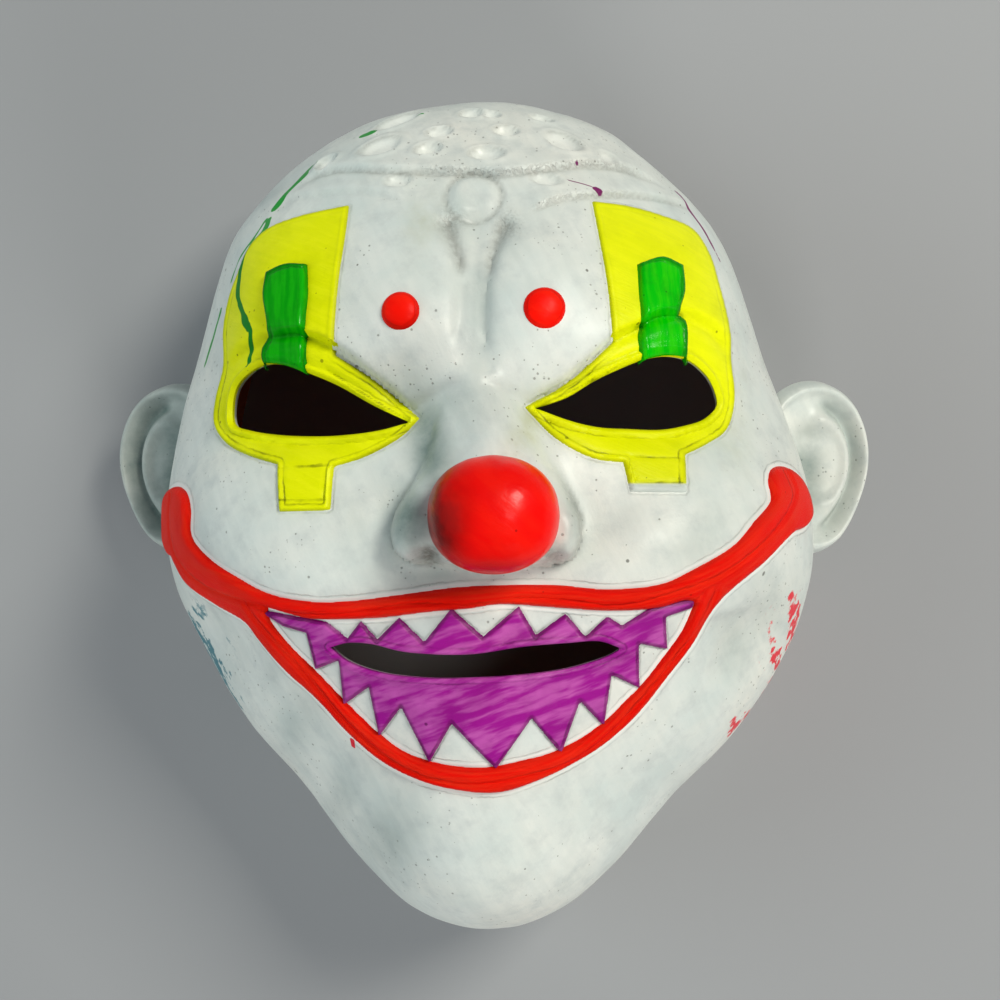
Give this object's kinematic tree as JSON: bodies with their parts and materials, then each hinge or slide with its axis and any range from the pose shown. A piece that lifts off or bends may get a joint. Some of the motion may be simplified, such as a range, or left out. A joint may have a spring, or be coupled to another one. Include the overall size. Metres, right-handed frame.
{
  "type": "clown mask",
  "caption": "Hollow hand-painted clown face mask with open eyes, a toothy grinning mouth slit, a round red nose and two ears, open at the back.",
  "frame": {"origin": "middle of the footprint, ears included, on the plane of the flat back rim", "axes": "+Y from the chin to the crown, +Z out of the face, +X to the right ear as seen from the front"},
  "size_m": [0.2256, 0.2406, 0.139],
  "materials": {
    "white_paint": "off-white brushed paint on cast resin, satin, with dark specks and grime in the creases",
    "yellow_paint": "acid yellow paint, semi-gloss, with a thin dark outline",
    "green_paint": "bright green glossy paint",
    "red_paint": "orange-red semi-gloss paint",
    "purple_paint": "purple paint with visible brush strokes"
  },
  "bodies": {
    "root": {"mask_shell": "white_paint", "ear_left": "white_paint", "ear_right": "white_paint", "nose_ball": "red_paint", "eye_patch_left": "yellow_paint", "eye_patch_right": "yellow_paint", "brow_bar_left": "green_paint", "brow_bar_right": "green_paint", "lips": "red_paint", "mouth_panel": "purple_paint", "brow_dot_left": "red_paint", "brow_dot_right": "red_paint"}
  },
  "joints": []
}
